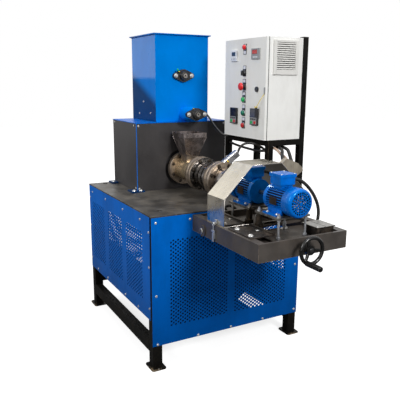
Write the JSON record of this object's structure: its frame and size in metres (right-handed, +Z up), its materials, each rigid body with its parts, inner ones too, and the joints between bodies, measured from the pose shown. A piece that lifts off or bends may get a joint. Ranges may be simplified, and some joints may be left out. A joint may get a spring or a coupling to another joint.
{
  "type": "pet food extruder",
  "caption": "Floor-standing extruder for pet food: feed hopper on a drive housing, flanged barrel with funnel, cutter motor and guard on a front tray, control cabinet.",
  "frame": {"origin": "on the floor, at the middle of the four anchor holes in the foot plates", "axes": "+X to the operator's right along the front, +Y to the rear, +Z up"},
  "size_m": [0.892, 1.637, 1.628],
  "materials": {
    "frame_black": "satin black paint, worn at the feet",
    "worn_plate": "dark worn steel plate",
    "blue_sheet": "gloss blue powder coat",
    "hopper_blue": "gloss blue powder coat",
    "housing_black": "satin black sheet",
    "bearing_black": "black cast housing",
    "bright_steel": "machined steel",
    "stainless": "scuffed stainless",
    "stainless_mirror": "polished stainless",
    "barrel_steel": "heat tinted steel",
    "band_steel": "dark banded steel",
    "zinc": "zinc plated steel",
    "tray_black": "black paint, worn edges",
    "motor_blue": "bright blue enamel",
    "wheel_black": "gloss black",
    "cabinet_grey": "light grey powder coat",
    "filter_grey": "light grey plastic",
    "button_plastic": "coloured caps on grey collars",
    "red_plastic": "red mushroom head",
    "dark_plastic": "black plastic",
    "legend_plate": "blank pale plates",
    "meter_plastic": "pale housings with dark displays",
    "cable_black": "black cable sheath",
    "pale_sheath": "pale flexible conduit",
    "yellow_string": "yellow string"
  },
  "bodies": {
    "machine": {"back_panel": "blue_sheet", "barrel_head": "barrel_steel", "barrel_inlet": "barrel_steel", "barrel_middle": "barrel_steel", "beam_cable": "cable_black", "cabinet_body": "cabinet_grey", "cabinet_frame": "frame_black", "carriage_plate": "tray_black", "cutter_guard": "stainless_mirror", "drive_housing": "housing_black", "fan_filter": "filter_grey", "feed_conduit": "cable_black", "feed_funnel": "stainless", "feed_tube": "hopper_blue", "frame_rails": "frame_black", "front_panel": "blue_sheet", "guard_box": "stainless", "guard_hose": "cable_black", "guard_latch": "zinc", "guide_plates": "tray_black", "heater_bands": "band_steel", "heater_cable": "cable_black", "heater_connector": "zinc", "hopper_body": "hopper_blue", "hopper_lip": "hopper_blue", "housing_feet": "blue_sheet", "housing_top": "blue_sheet", "legs": "frame_black", "motor_body": "motor_blue", "motor_cowl": "motor_blue", "motor_hose": "cable_black", "motor_plate": "zinc", "motor_rods": "zinc", "motor_shaft": "bright_steel", "pale_conduit": "pale_sheath", "pivot_ear": "tray_black", "rod_sleeve": "zinc", "shaft_bearings": "bearing_black", "shaft_ends": "bright_steel", "side_panels": "blue_sheet", "switch_hose": "cable_black", "table_top": "worn_plate", "terminal_box": "motor_blue", "tray_frame": "tray_black"},
    "door": {"cabinet_door": "cabinet_grey", "push_buttons": "button_plastic", "emergency_stop": "red_plastic", "selector_switch": "dark_plastic", "legend_plates": "legend_plate", "door_meters": "meter_plastic", "drive_keypads": "dark_plastic", "door_lock": "dark_plastic", "door_tag": "dark_plastic", "tag_string": "yellow_string"},
    "wheel": {"handwheel": "wheel_black", "wheel_grip": "wheel_black", "wheel_shaft": "bright_steel"}
  },
  "joints": [
    {"name": "door_hinge", "type": "hinge", "parent": "machine", "child": "door", "pos_m": [0.19, -0.084, 1.336], "axis": [0, 0, -1], "range_deg": [0, 90]},
    {"name": "handwheel_turn", "type": "hinge", "parent": "machine", "child": "wheel", "pos_m": [0.009, -1.057, 0.709], "axis": [0, -1, 0], "range_deg": [-720, 720]}
  ]
}
